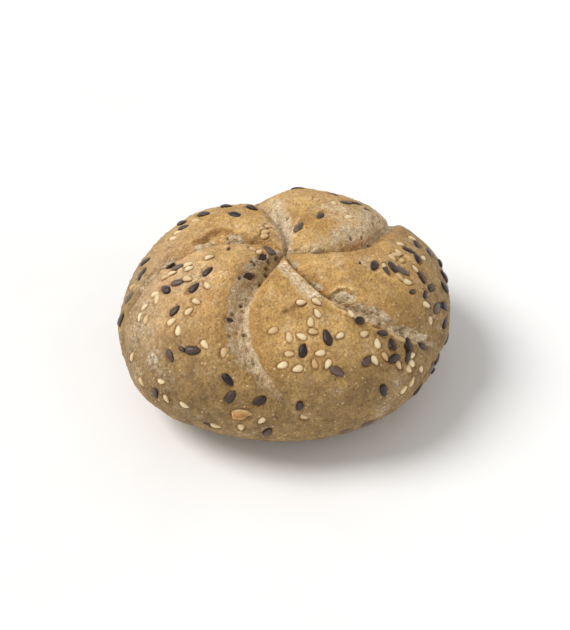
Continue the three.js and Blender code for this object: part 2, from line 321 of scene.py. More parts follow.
MORE_SESAMES = [
    (149, 53, 268), (158, 58, 260), (193, 55, 285), (193, 48, 280), (195, 39, 270), (186, 68, 290),
    (181, 75, 280), (204, 50, 320), (199, 63, 300), (201, 68, 275), (203, 71, 40), (221, 57, 280),
    (220, 53, 350), (236, 64, 30), (217, 87, 45), (226, 81, 340), (229, 86, 60), (246, 92, 20),
    (124, 18, 205, 0.7, 0.25), (136, 16, 210, 0.85, 0.3), (144, 15, 240, 0.85, 0.2), (68, 44, 60),
    (292, 43, 60), (204, 16, 250, 0.85), (194, 19, 311, 0.85), (275, 67, 165), (282, 66, 262),
    (262, 86, 130), (255, 90, 90), (277, 87, 20), (308, 62, 10), (311, 67, 300), (306, 71, 80),
    (315, 77, 80), (321, 80, 60), (323, 78, 20), (325, 85, 75), (319, 86, 320), (315, 87, 340),
    (343, 70, 60), (340, 75, 116), (346, 60, 60), (348, 50, 170), (357, 62, 310), (358, 53, 140),
    (359, 57, 40), (2, 55, 70), (14, 60, 80), (8, 67, 30), (38, 43, 85), (56, 46, 60), (22, 68, 100),
]


def seed_frame(point, along, outward, size=1, lift=0):
    """Axes of a seed at a point: its length, its width and the way its broad face looks."""
    outward = unit(outward)
    along = unit(along - outward * (along @ outward))
    aside = np.cross(outward, along)
    return dict(point=point, along=along, aside=aside, outward=outward, size=size, lift=lift)


SEAT_STEP = 2.5  # degrees each way over which the crust's slope under a seed is taken
SEAT_NARROWEST = 0.25  # keeps that step from growing without end near the roll's middle


def seat_at(bearing, tilt, turn, size=1, lift=0):
    """A seed's frame at a place on the plain surface. A seed is sunk in the crust, less by its lift."""
    step = SEAT_STEP / max(math.sin(math.radians(tilt)), SEAT_NARROWEST)
    around = np.array([bearing, bearing + step, bearing - step, bearing, bearing], float)
    down = np.array([tilt, tilt, tilt, tilt + SEAT_STEP, tilt - SEAT_STEP], float)
    middle, higher, lower, below, above = crust_points(around, down)
    sideways = unit(higher - lower)
    outward = unit(np.cross(below - above, sideways))
    downhill = np.cross(sideways, outward)
    along = sideways * math.cos(math.radians(turn)) + downhill * math.sin(math.radians(turn))
    return seed_frame(middle, along, outward, size, lift)


def cad_seat(node):
    """A seed's frame from the CAD seed's own vertices: its length is their longest direction, its
    flat way their shortest, and its pointed end the slimmer one."""
    vertices = np.array([v.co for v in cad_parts[node].data.vertices]) / MM
    low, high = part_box(node)
    middle = np.array((low + high) / 2) / MM
    spread = vertices - middle
    directions = np.linalg.svd(spread, full_matrices=False)[2]
    along, outward = directions[0], directions[2]
    width = np.linalg.norm(spread - np.outer(spread @ along, along), axis=1)
    if (spread @ along) @ (width - width.mean()) > 0:
        along = -along
    if outward @ (middle - HUB) < 0:
        outward = -outward
    return seed_frame(middle, along, outward)


# ---- the crust's mesh

CAP_CELLS = 164  # along each side of the caps, two square grids drawn over the top and the base
SKIRT_RINGS = 180  # from the top cap's edge down to the flat spot


def square_faces(index):
    """Faces between the points of a square grid, whose numbers are given."""
    corners = [index[:-1, :-1], index[1:, :-1], index[1:, 1:], index[:-1, 1:]]
    return np.stack(corners, axis=-1).reshape(-1, 4)


def ring_faces(rings):
    """Faces between closed rings of points, given as the rows of a grid of their numbers."""
    return square_faces(np.hstack([rings, rings[:, :1]]))


def square_edge(index):
    """The numbers of a square grid's outer points, in order."""
    return np.concatenate([index[-1, :-1], index[:0:-1, -1], index[0, :0:-1], index[:-1, 0]])


def crust_grid():
    """Bearing and tilt of each point, how far inside the flat spot it lies, from 0 at its rim and
    outside it to 1 at its middle, and the faces."""
    steps = np.tan(np.radians(np.linspace(-45, 45, CAP_CELLS + 1)))
    x, y = np.meshgrid(steps, steps, indexing="ij")
    index = np.arange(x.size).reshape(x.shape)
    around = np.degrees(np.arctan2(y, x)).ravel()
    cap_tilt = np.degrees(np.arctan(np.hypot(x, y))).ravel()
    edge = square_edge(index)
    share = np.arange(1, SKIRT_RINGS + 1)[:, None] / SKIRT_RINGS
    skirt_tilt = cap_tilt[edge] + (rim_tilt(around[edge]) - cap_tilt[edge]) * share
    skirt = x.size + np.arange(skirt_tilt.size).reshape(skirt_tilt.shape)
    base = np.zeros(x.shape, int)
    base.flat[edge] = skirt[-1]
    base[1:-1, 1:-1] = x.size + skirt.size + np.arange((CAP_CELLS - 1) ** 2).reshape(CAP_CELLS - 1, -1)
    inner_bearing = around[index[1:-1, 1:-1]].ravel()
    bearing = np.concatenate([around, np.tile(around[edge], SKIRT_RINGS), inner_bearing])
    tilt = np.concatenate([cap_tilt, skirt_tilt.ravel(), rim_tilt(inner_bearing)])
    line = np.abs(np.linspace(-1, 1, CAP_CELLS + 1))
    inwards = 1 - np.maximum(*np.meshgrid(line, line, indexing="ij"))
    inside = np.zeros(len(bearing))
    inside[-len(inner_bearing):] = inwards[1:-1, 1:-1].ravel()
    faces = [square_faces(index), ring_faces(np.vstack([edge, skirt])), square_faces(base)[:, ::-1]]
    return bearing, tilt, inside, np.concatenate(faces)


def add_object(name, data):
    made = bpy.data.objects.new(name, data)
    bpy.context.scene.collection.objects.link(made)
    return made


def mesh_from(name, points, faces, material):
    """A smooth-shaded mesh object from points in millimetres."""
    mesh = bpy.data.meshes.new(name)
    mesh.from_pydata((points * MM).tolist(), [], faces)
    mesh.polygons.foreach_set("use_smooth", [True] * len(mesh.polygons))
    mesh.materials.append(material)
    mesh.update()
    return add_object(name, mesh)


def normals_of(mesh):
    normals = np.empty(len(mesh.vertices) * 3)
    mesh.vertex_normals.foreach_get("vector", normals)
    return normals.reshape(-1, 3)


def set_mask(mesh, name, values):
    mask = mesh.attributes.new(name, "FLOAT", "POINT")
    mask.data.foreach_set("value", np.clip(values, 0, 1).astype(np.float32))


# ---- what the skin looks like, place by place
# A list of noises holds the height, size and seed of each. An edge is where it starts and ends.

CRUMB_RAGGED = [(0.8, 2.6, 11), (0.6, 1.1, 12)]  # how torn edges wander
CRUMB_FULLNESS = ([(0.65, 3.2, 13)], 1.04)  # noises round a mean
CRUMB_LOW_EDGE = (-0.5, 0.4)  # round the crumb's low reach
CRUMB_HIGH_EDGE = (0.65, 1.35)  # as shares of its high reach
LEAST_REACH = 0.1
PATCH_RAGGED = 0.4
PATCH_EDGE = (0.8, 1.15)

# Flour beside a fold: the fold, the band's edges across it and down it, its wander and strength.
FLOUR_BANDS = [
    ("front_right", (-6.5, -4.2), (-2.6, -1.6), (10, 16), (38, 46), [(0.6, 2.0, 21)], 1.8),
    ("back", (-3.5, -1.5), (1.5, 4), (-2, -1), (50, 64), [(0.9, 2.4, 22)], 1.0),
]
DUST = [(1.0, 8.0, 23), (0.6, 1.4, 24)]  # thin dust all over
DUST_EDGE = (0.3, 0.8)
DUST_STRENGTH = 0.3
SPECKLE = ([(0.6, 0.9, 25)], 0.6)
PLACE_WANDER = [(2.0, 5.0, 26)]

CREST_WANDER = [(0.5, 4.0, 31), (0.25, 1.5, 33)]
CREST_EVENNESS = ([(0.4, 3.0, 34)], 0.75)
CREST_FADE = (5, 4)  # degrees of tilt before and after each end of a crest
TOAST_BLOTCHES = [(1.0, 11.0, 32), (0.4, 3.0, 35)]
BLOTCH_EDGE = (0.0, 0.8)
BLOTCH_STRENGTH = 0.45
TOASTED_CREST = 0.8
LIP_STRENGTH = 1.8
# edges of the pale, thinned crest tops that carry a painted highlight
THIN_AND_LIT_EDGE = (0.35, 0.8)

# Wrinkles: the fold that they run beside, and their edges across it.
WRINKLED = [
    ("left", (-9, -7), (6, 9)), ("front_right", (-3, -1), (7, 10)), ("back_right", (-1, 1), (8, 11)),
]
WRINKLE_BEND = [(1.2, 7.0, 41)]
WRINKLE_SIZE = (1.5, 14)  # from one to the next, and its length in degrees of tilt
WRINKLE_SEED = 42
WRINKLE_SHARPNESS = 4
WRINKLE_END = (75, 95)
WRINKLE_PATCHES = [(1.0, 8.0, 43)]
WRINKLE_PATCH_EDGE = (-0.1, 0.5)

TEAR_WANDER = [(0.5, 2.2, 51)]
TEAR_ENDS = ((0, 0.2), (0.85, 1))  # as shares of a tear's length
HOLLOW_START = (-0.3, 0.3)
HOLLOW_FLOOR = 0.3  # share of a hollow's width at its full depth


def layered(points, layers, mean=0):
    return sum((height * noise(points, size, seed) for height, size, seed in layers), mean)


def between(value, rise, fall):
    """1 between two edges and 0 outside them."""
    return smooth_step(rise[0], rise[1], value) * smooth_step(fall[1], fall[0], value)


def fold_distances(bearing, tilt):
    """Each fold's signed distance at every point, by its name."""
    across = egg_radius(bearing, tilt) * np.sin(np.radians(tilt))
    return {name: fold_distance(fold, bearing, tilt, across) for name, fold in FOLDS.items()}


def crumb_mask(points, tilt, beside):
    """Where the skin is torn open and the crumb shows: along the folds and in patches."""
    ragged = layered(points, CRUMB_RAGGED)
    fullness = layered(points, *CRUMB_FULLNESS)
    total = np.zeros(len(points))
    for name, fold in FOLDS.items():
        if not fold["crumb"]:
            continue
        low = np.maximum(along_fold(fold["low_reach"], tilt), LEAST_REACH)
        high = np.maximum(along_fold(fold["high_reach"], tilt), LEAST_REACH)
        rise = [step - low for step in CRUMB_LOW_EDGE]
        fall = [share * high for share in CRUMB_HIGH_EDGE]
        inside = between(beside[name] + ragged, rise, fall)
        share = np.clip(along_fold(fold["crumb"], tilt), 0, 1) * (tilt < FOLD_END_TILT)
        total = np.maximum(total, inside * np.clip(share * fullness, 0, 1))
    for name, middle_tilt, middle, half_length, half_width in CRUMB_PATCHES:
        along = np.radians(tilt - middle_tilt) * MEAN_RADIUS / half_length
        aside = (beside[name] - middle) / half_width
        gap = np.hypot(along, aside) + PATCH_RAGGED * ragged
        total = np.maximum(total, 1 - smooth_step(*PATCH_EDGE, gap))
    return total


def near_place(points, bearing, tilt, reach):
    """1 at a place on the surface, falling away over its reach."""
    middle = crust_points(float(bearing), float(tilt))
    away = np.linalg.norm(points - middle, axis=1) + layered(points, PLACE_WANDER)
    return np.exp(-((away / reach) ** 2))


def flour_mask(points, tilt, beside):
    """Where flour has caught: in bands beside two folds, in dustings and thinly all over."""
    total = np.zeros(len(points))
    for name, rise, fall, start, end, wander, strength in FLOUR_BANDS:
        across = between(beside[name] + layered(points, wander), rise, fall)
        total = total + strength * across * between(tilt, start, end)
    for bearing, middle_tilt, reach, strength in DUSTINGS:
        total = total + strength * near_place(points, bearing, middle_tilt, reach)
    total = total + DUST_STRENGTH * smooth_step(*DUST_EDGE, layered(points, DUST))
    return np.clip(total * layered(points, *SPECKLE), 0, 1)


def crest_shares(points, tilt, beside):
    """How far each point is up each crest, 1 on its top, with the crest's height and brownness."""
    wander = layered(points, CREST_WANDER)
    evenness = layered(points, *CREST_EVENNESS)
    before, after = CREST_FADE
    for name, offsets, first, last, height, half_width, browned in CRESTS:
        offset = np.interp(tilt, [first, (first + last) / 2, last], offsets)
        past = (beside[name] + wander - offset) * np.sign(offset)
        share = np.exp(-((past / np.where(past > 0, OUTER_SPREAD * half_width, half_width)) ** 2))
        ends = between(tilt, (first - before, first + after), (last - after, last + before))
        yield share * ends * evenness, height, browned


def tear_line(points, places):
    """Signed distance to a tear's line, positive on its hollow's side, and the share of the way
    along it."""
    line = crust_points(*np.array(places, float).T)
    gap = np.full(len(points), np.inf)
    share = np.zeros(len(points))
    for index, (start, end) in enumerate(zip(line, line[1:])):
        run = end - start
        away = points - start
        t = np.clip(away @ run / (run @ run), 0, 1)
        distance = np.linalg.norm(away - t[:, None] * run, axis=1)
        right_hand = np.cross(run, start - HUB)
        closer = distance < np.abs(gap)
        gap = np.where(closer, distance * np.sign(away @ right_hand), gap)
        share = np.where(closer, (index + t) / (len(line) - 1), share)
    return gap, share


def torn_flaps(points):
    """Each small tear's lip height and hollow depth at every point, and the lip's brownness."""
    for places, height, depth, width, browned in TEARS:
        gap, share = tear_line(points, places)
        gap = gap + layered(points, TEAR_WANDER)
        fade = between(share, *TEAR_ENDS)
        lip = fade * height * np.exp(-(((gap + LIP_WIDTH) / LIP_WIDTH) ** 2))
        hollow = fade * depth * between(gap, HOLLOW_START, (HOLLOW_FLOOR * width, width))
        yield lip, hollow, browned


def raised_skin(points, tilt, beside, weight):
    """How far each point is up a crest and up a torn lip, weighted by how brown that is."""
    crests = np.max([
        share * weight(browned) for share, _, browned in crest_shares(points, tilt, beside)], axis=0)
    lips = sum(lip * weight(browned) for lip, _, browned in torn_flaps(points))
    return crests, lips


def toast_mask(points, tilt, beside):
    """Where the crust has browned most: its brown crests and lips, and some blotches."""
    crests, lips = raised_skin(points, tilt, beside, lambda browned: browned)
    blotches = smooth_step(*BLOTCH_EDGE, layered(points, TOAST_BLOTCHES))
    return np.clip(TOASTED_CREST * crests + BLOTCH_STRENGTH * blotches + LIP_STRENGTH * lips, 0, 1)


def thin_and_lit_mask(points, tilt, beside):
    """Pale tops of some crests and lips, where the skin is thinned, with a painted highlight over them.
    """
    crests, lips = raised_skin(points, tilt, beside, lambda browned: 1 - browned)
    return smooth_step(*THIN_AND_LIT_EDGE, crests + LIP_STRENGTH * lips)


def wrinkles(points, tilt, beside):
    """Fine ridges that run along a fold, where the skin has been dragged."""
    total = np.zeros(len(points))
    bend = layered(points, WRINKLE_BEND)
    gap, run = WRINKLE_SIZE
    for name, rise, fall in WRINKLED:
        lines = np.stack([(beside[name] + bend) / gap, tilt / run, np.zeros_like(tilt)], axis=-1)
        ridged = 1 - np.abs(noise(lines, 1.0, WRINKLE_SEED))
        total = total + between(beside[name], rise, fall) * ridged ** WRINKLE_SHARPNESS
    total = total * (1 - smooth_step(*WRINKLE_END, tilt))
    return total * smooth_step(*WRINKLE_PATCH_EDGE, layered(points, WRINKLE_PATCHES))


# ---- the relief of skin, crumb and seeds

DENT_DEPTH = 0.5  # of the hollow under a seed
DENT_EDGE = (0.85, 1.35)  # in half lengths and half widths of the seed, as below
DENT_SWELL = (0.12, 1.65, 0.3)  # height, place and reach of the swell of skin round a seed
# edges of the painted contact shade round a seed, in the same shares
SEED_SHADE_EDGE = (1.0, 1.45)

SKIN_WAVES = [(0.35, 15.0, 61), (0.2, 5.0, 62)]
SKIN_GRAIN = [(0.13, 2.0, 63), (0.08, 1.0, 64)]
CRUMB_GRAIN = [(0.22, 1.3, 85), (0.12, 0.7, 86)]
CRUMB_WAVES = 0.7  # how much of the skin's waves the crumb has
CRUMB_SINK = 0.2
# Dots: the size of their cells, their seed, and their edge as shares of a cell. Each dot has a value
# from 0 to 1 of its own, and the least or the edge given for it says which dots count.
BLISTERS = (3.4, 65, (0.05, 0.26))
PRICKS = (2.4, 70, (0.05, 0.2))
PORES = (2.5, 75, (0.14, 0.4))
FINE_PORES = (1.3, 80, (0.15, 0.4))
BLISTER_LEAST, BLISTER_HEIGHT = 0.5, 0.24
# the last is how strongly painted shade darkens a prick
PRICK_LEAST, PRICK_DEPTH, PRICK_SHADE = 0.6, 0.35, 0.8
PORE_VALUES, PORE_DEPTH = (0.35, 0.75), 1.1
FINE_PORE_SHARE = 0.5
SPONGY = [(1.0, 6.0, 87)]  # where the crumb has fine pores
SPONGY_EDGE = (-0.2, 0.5)
WRINKLE_HEIGHT = 0.4


def seed_dents(points, seats):
    """A hollow under each seed, with a low swell of skin round it, and a mask of painted contact shade
    round it.
    """
    dent = np.zeros(len(points))
    rim = np.zeros(len(points))
    for kind, seat in seats:
        length, width = (seat["size"] * side for side in SEED_SIZES[kind][:2])
        near = np.flatnonzero(np.abs(points - seat["point"]).max(axis=1) < length)
        offset = points[near] - seat["point"]
        gap = np.hypot(offset @ seat["along"] / (length / 2), offset @ seat["aside"] / (width / 2))
        height, place, reach = DENT_SWELL
        swell = height * np.exp(-((gap - place) / reach) ** 2)
        dent[near] += swell - DENT_DEPTH * (1 - smooth_step(*DENT_EDGE, gap))
        rim[near] = np.maximum(rim[near], 1 - smooth_step(*SEED_SHADE_EDGE, gap))
    return dent, rim


def dots(points, size, seed, edge):
    """Round dots, one in each cell, and each dot's own value from 0 to 1."""
    away, owner = nearest_cell(points, size, seed)
    return 1 - smooth_step(*edge, away), owner


def skin_relief(points, tilt, beside):
    """Height of unbroken skin over the plain surface, and the mask of its pricks."""
    blisters, value = dots(points, *BLISTERS)
    blisters = blisters * (value > BLISTER_LEAST)
    pricks, value = dots(points, *PRICKS)
    pricks = pricks * (value > PRICK_LEAST)
    skin = layered(points, SKIN_WAVES) + layered(points, SKIN_GRAIN) + BLISTER_HEIGHT * blisters
    skin = skin - PRICK_DEPTH * pricks + WRINKLE_HEIGHT * wrinkles(points, tilt, beside)
    for lip, hollow, _ in torn_flaps(points):
        skin = skin + lip - hollow
    for share, height, _ in crest_shares(points, tilt, beside):
        skin = skin + share * height
    return skin, pricks


def crumb_relief(points):
    """Height of torn crumb over the plain surface, and the mask of its pores."""
    pores, value = dots(points, *PORES)
    pores = pores * smooth_step(*PORE_VALUES, value)
    fine, _ = dots(points, *FINE_PORES)
    spongy = smooth_step(*SPONGY_EDGE, layered(points, SPONGY))
    pores = np.maximum(pores, FINE_PORE_SHARE * spongy * fine)
    waves = CRUMB_WAVES * layered(points, SKIN_WAVES) + layered(points, CRUMB_GRAIN)
    return waves - PORE_DEPTH * pores - CRUMB_SINK, pores


def crust_relief(points, tilt, beside, crumb, seats):
    """Height of the relief, and masks for painted shade in pores and pricks and round the seeds."""
    skin, pricks = skin_relief(points, tilt, beside)
    torn, pores = crumb_relief(points)
    dent, rim = seed_dents(points, seats)
    # painted shade in the crumb's pores and the skin's pricks
    pit_shade = pores * crumb + PRICK_SHADE * pricks * (1 - crumb)
    return skin * (1 - crumb) + torn * crumb + dent, pit_shade, rim


BASE_FADE = 5.0  # height over which the relief grows in from the flat spot's rim
BASE_RIM = 0.08  # share of the flat spot over which the base leaves the ground
BASE_HEIGHT = ([(0.12, 2.5, 91)], 0.18)
LOW_TILTS = (50, 82)  # where the crust turns to its darker lower part: partly its own duller colour, partly painted shade


def make_crust(seats, material):
    bearing, tilt, inside, faces = crust_grid()
    bearing = bearing % 360
    points = crust_points(bearing, tilt)
    points[:, :2] *= (1 - inside)[:, None]
    points[inside > 0, 2] = 0
    crust = mesh_from("roll_crust", points, faces.tolist(), material)
    facts = (points, tilt, fold_distances(bearing, tilt))
    crumb = crumb_mask(*facts)
    relief, pit_shade, rim = crust_relief(*facts, crumb, seats)
    relief = relief * smooth_step(0, BASE_FADE, points[:, 2])
    outward = unit(unit(points - HUB) + normals_of(crust.data))
    moved = points + outward * relief[:, None]
    moved[:, 2] = np.maximum(moved[:, 2], 0)
    moved[:, 2] += smooth_step(0, BASE_RIM, inside) * layered(points, *BASE_HEIGHT)
    crust.data.vertices.foreach_set("co", (moved * MM).ravel())
    crust.data.update()
    masks = {
        "crumb": crumb, "flour": flour_mask(*facts), "toast": toast_mask(*facts), "pit_shade": pit_shade,
        "thin_and_lit": thin_and_lit_mask(*facts), "seed_contact_shade": rim, "low": smooth_step(*LOW_TILTS, tilt),
        "painted_sheen": near_place(points, *SHEEN_PLACE), "painted_shade": near_place(points, *SHADE_PLACE),
    }
    for name, values in masks.items():
        set_mask(crust.data, name, values)
    return crust


# ---- materials

TINTS = {  # red, green and blue as seen on a screen, 0 to 255
    "tan": (216, 175, 109), "deep tan": (189, 148, 81), "tan mottle": (168, 122, 68),
    "pale mottle": (226, 190, 142), "toast": (180, 127, 60), "painted_sheen": (219, 181, 143),
    # the low tints: the lower part's own duller colour, darkened further as painted shade
    "low": (160, 129, 78), "deep low": (126, 99, 56), "low mottle": (98, 73, 40),
    "pale speck": (238, 212, 166), "brown speck": (120, 80, 44), "seed contact shade": (132, 88, 46),
    "crumb": (240, 220, 184), "deep crumb": (190, 166, 132), "crumb pore shade": (106, 81, 58),
    "pale crest and highlight": (236, 202, 146), "flour": (240, 226, 202), "pit_shade": (84, 60, 40),
    "linseed": (34, 20, 20), "worn linseed": (84, 62, 56), "linseed edge": (22, 13, 13),
    "linseed dust": (170, 146, 128),
    "sesame": (240, 222, 178), "roast sesame": (206, 168, 112), "sesame edge": (160, 108, 58),
    "sesame mottle": (200, 160, 104),
    "kernel": (208, 162, 92), "roast kernel": (164, 112, 52), "kernel edge": (226, 204, 160),
    "floor": (250, 250, 250), "floor shade": (246, 246, 246),
}


def colour(name):
    """The linear colour of a named tint."""
    channels = [value / 255 for value in TINTS[name]]
    linear = [c / 12.92 if c <= 0.04045 else ((c + 0.055) / 1.055) ** 2.4 for c in channels]
    return (*linear, 1)


class Shader:
    """A material's node tree, with a few short ways to add to it."""

    def __init__(self, name):
        self.material = bpy.data.materials.new(name)
        self.material.use_nodes = True
        self.tree = self.material.node_tree
        self.surface = self.tree.nodes["Principled BSDF"]
        self.place = self.add("ShaderNodeTexCoord").outputs["Object"]

    def add(self, kind, **settings):
        node = self.tree.nodes.new(kind)
        for name, value in settings.items():
            setattr(node, name, value)
        return node

    def link(self, value, socket):
        """Link a socket, or set it to a constant or to a named tint."""
        if isinstance(value, bpy.types.NodeSocket):
            self.tree.links.new(value, socket)
        else:
            socket.default_value = colour(value) if isinstance(value, str) else value

    def finish(self, name, value):
        self.link(value, self.surface.inputs[name])

    def mask(self, name):
        return self.add("ShaderNodeAttribute", attribute_name=name).outputs["Fac"]

    def texture(self, kind, size):
        node = self.add(kind)
        self.link(self.place, node.inputs["Vector"])
        node.inputs["Scale"].default_value = 1 / (size * MM)
        return node

    def noise(self, size, detail=3.0, low=0.35, high=0.65, to_low=0.0, to_high=1.0):
        """Noise with bumps of a size in millimetres, stretched from low..high to to_low..to_high."""
        node = self.texture("ShaderNodeTexNoise", size)
        node.inputs["Detail"].default_value = detail
        return self.span(node.outputs["Fac"], low, high, to_low, to_high)

    def spots(self, size, low, high):
        """Round spots, one in each cell of that size: 1 at the middle, from low to high outwards."""
        return self.span(self.texture("ShaderNodeTexVoronoi", size).outputs["Distance"], high, low)

    def span(self, value, low, high, to_low=0.0, to_high=1.0):
        node = self.add("ShaderNodeMapRange", clamp=True)
        self.link(value, node.inputs["Value"])
        limits = {"From Min": low, "From Max": high, "To Min": to_low, "To Max": to_high}
        for name, limit in limits.items():
            node.inputs[name].default_value = limit
        return node.outputs["Result"]

    def maths(self, operation, first, second):
        node = self.add("ShaderNodeMath", operation=operation)
        self.link(first, node.inputs[0])
        self.link(second, node.inputs[1])
        return node.outputs["Value"]

    def mix(self, share, first, second):
        node = self.add("ShaderNodeMix", data_type="RGBA")
        self.link(share, node.inputs["Factor"])
        self.link(first, node.inputs["A"])
        self.link(second, node.inputs["B"])
        return node.outputs["Result"]

    def stain(self, base, share, strength, tint):
        """A base colour with a tint over it, by the share times the strength."""
        return self.mix(self.maths("MULTIPLY", share, strength), base, tint)

    def scaled(self, tint, factor):
        node = self.add("ShaderNodeVectorMath", operation="SCALE")
        self.link(tint, node.inputs["Vector"])
        self.link(factor, node.inputs["Scale"])
        return node.outputs["Vector"]

    def bump(self, height, distance, below=None):
        node = self.add("ShaderNodeBump")
        self.link(height, node.inputs["Height"])
        node.inputs["Distance"].default_value = distance * MM
        node.inputs["Strength"].default_value = 1.0
        if below is not None:
            self.link(below, node.inputs["Normal"])
        return node.outputs["Normal"]


def skin_colour(s):
    """Baked skin: mottled tan with toasted places and a painted sheen, and darker low down, partly
    painted shade.
    """
    skin = s.mix(s.noise(11, detail=2), "tan", "deep tan")
    skin = s.mix(s.noise(3.0, low=0.42, high=0.7, to_high=0.6), skin, "tan mottle")
    skin = s.mix(s.noise(4.0, low=0.52, high=0.74, to_high=0.5), skin, "pale mottle")
    skin = s.stain(skin, s.mask("toast"), 0.7, "toast")
    # painted sheen: the paler, pinker side of the crust
    skin = s.stain(skin, s.mask("painted_sheen"), 0.65, "painted_sheen")
    # the lower part: its own duller colour, darkened further as painted shade
    low = s.mix(s.noise(6), "low", "deep low")
    low = s.mix(s.noise(2.4, low=0.46, high=0.7, to_high=0.7), low, "low mottle")
    skin = s.stain(skin, s.mask("low"), 0.85, low)
    skin = s.stain(skin, s.spots(2.1, 0.08, 0.2), 0.6, "pale speck")
    # painted contact shade where each seed meets the crust
    skin = s.stain(skin, s.mask("seed_contact_shade"), 0.4, "seed contact shade")
    return s.stain(skin, s.spots(3.1, 0.03, 0.1), 0.6, "brown speck")


def crumb_colour(s):
    crumb = s.mix(s.noise(2.2), "crumb", "deep crumb")
    # dark dots: painted shade in the crumb's fine pores
    return s.stain(crumb, s.spots(0.95, 0.12, 0.34), 0.75, "crumb pore shade")


def crust_material():
    s = Shader("crust")
    base = s.stain(skin_colour(s), s.mask("crumb"), 0.9, crumb_colour(s))
    # crest tops: pale thinned skin and a painted highlight
    base = s.stain(base, s.mask("thin_and_lit"), 0.75, "pale crest and highlight")
    flour = s.maths("MULTIPLY", s.mask("flour"), s.noise(0.9, low=0.35, high=0.6))
    base = s.stain(base, flour, 0.9, "flour")
    # painted shade in the pores and pricks
    base = s.stain(base, s.mask("pit_shade"), 0.85, "pit_shade")
    base = s.scaled(base, s.noise(0.8, low=0.36, high=0.64, to_low=0.79, to_high=1.19))
    base = s.scaled(base, s.noise(2.2, to_low=0.91, to_high=1.07))
    base = s.scaled(base, s.noise(6.5, detail=2, to_low=0.9, to_high=1.07))
    # painted shade: the base colour darkened round one low side of the roll
    base = s.scaled(base, s.span(s.mask("painted_shade"), 0, 1, 1, 0.76))
    crumb_roughness = s.maths("MULTIPLY", s.mask("crumb"), 0.9)
    fine = s.bump(s.noise(0.6, detail=2, low=0.2, high=0.8), 0.28)
    pebbles = s.bump(s.noise(1.4, detail=2, low=0.2, high=0.8), 0.35, below=fine)
    s.finish("Base Color", base)
    s.finish("Roughness", s.maths("MAXIMUM", s.noise(1.8, to_low=0.5, to_high=0.7), crumb_roughness))
    s.finish("Normal", pebbles)
    s.finish("Specular IOR Level", 0.4)
    return s.material


def linseed_material():
    s = Shader("linseed")
    skin = s.mix(s.mask("tone"), "linseed", "worn linseed")
    skin = s.mix(s.mask("edge"), skin, "linseed edge")
    s.finish("Base Color", s.stain(skin, s.mask("dust"), 0.35, "linseed dust"))
    s.finish("Normal", s.bump(s.noise(0.5), 0.05))
    s.finish("Roughness", 0.38)
    s.finish("Specular IOR Level", 0.4)
    return s.material


def sesame_material():
    s = Shader("sesame")
    skin = s.mix(s.mask("tone"), "sesame", "roast sesame")
    skin = s.stain(skin, s.mask("edge"), 0.75, "sesame edge")
    s.finish("Base Color", s.stain(skin, s.noise(0.8), 0.2, "sesame mottle"))
    s.finish("Normal", s.bump(s.noise(0.35), 0.03))
    s.finish("Roughness", 0.5)
    s.finish("Subsurface Weight", 0.15)
    s.finish("Subsurface Radius", (1.0, 0.7, 0.4))
    s.finish("Subsurface Scale", 0.0008)
    return s.material


def kernel_material():
    s = Shader("kernel")
    skin = s.mix(s.noise(2.5), "kernel", "roast kernel")
    skin = s.stain(skin, s.mask("edge"), 0.7, "kernel edge")
    s.finish("Base Color", s.scaled(skin, s.noise(0.7, to_low=0.8, to_high=1.15)))
    s.finish("Normal", s.bump(s.noise(0.5), 0.08))
    s.finish("Roughness", 0.6)
    return s.material


# ---- seeds: their meshes

SEED_RINGS = 13
SEED_SIDES = 14
SEED_FLATNESS = 2.4  # power of the cross-section: above 2, so the broad faces are flatter
SEED_SHOULDER = 0.12  # how much fuller than a plain drop a seed's middle is
SEED_BEND = 0.06
SEED_CURL = (0.0, 0.12)
EDGE_POWER = 3  # how close the edge mask keeps to a seed's long edges, and to its ends
TIP_POWER = 6
SEED_GROWTH = (0.88, 1.1)
SEED_LIFTS = {"linseed": 0.22, "sesame": 0.22, "kernel": 0.1}
LIFT_SPREAD = (-0.1, 0.12)
SEED_TIP = 0.09  # most that a seed's point is tipped up or down
SEED_ROLL = 0.16
TONE_POWER = 1.6  # above 1, so that few seeds are worn or roasted
DUST_POWER = 5
KERNEL_RAGGED = [(0.4, 1.2, 95)]  # how the broken kernel's surface wanders
KERNEL_SHIFTS = np.array([[0, 0, 0], [40, 0, 0], [0, 40, 0]])
RAY_LEAD = 0.02  # metres outside the crust where the search for it begins
CAD_KINDS = {"linseed": "linseed", "sesame_seed": "sesame", "sunflower_kernel": "kernel"}


def drop_faces():
    """Faces of a drop made of rings of points, followed by its blunt end and its tip."""
    blunt = (SEED_RINGS - 1) * SEED_SIDES
    last = blunt - SEED_SIDES
    faces = ring_faces(np.arange(blunt).reshape(-1, SEED_SIDES))[:, [0, 3, 2, 1]].tolist()
    for side in range(SEED_SIDES):
        after = (side + 1) % SEED_SIDES
        faces.append([blunt, after, side])
        faces.append([blunt + 1, last + side, last + after])
    return faces


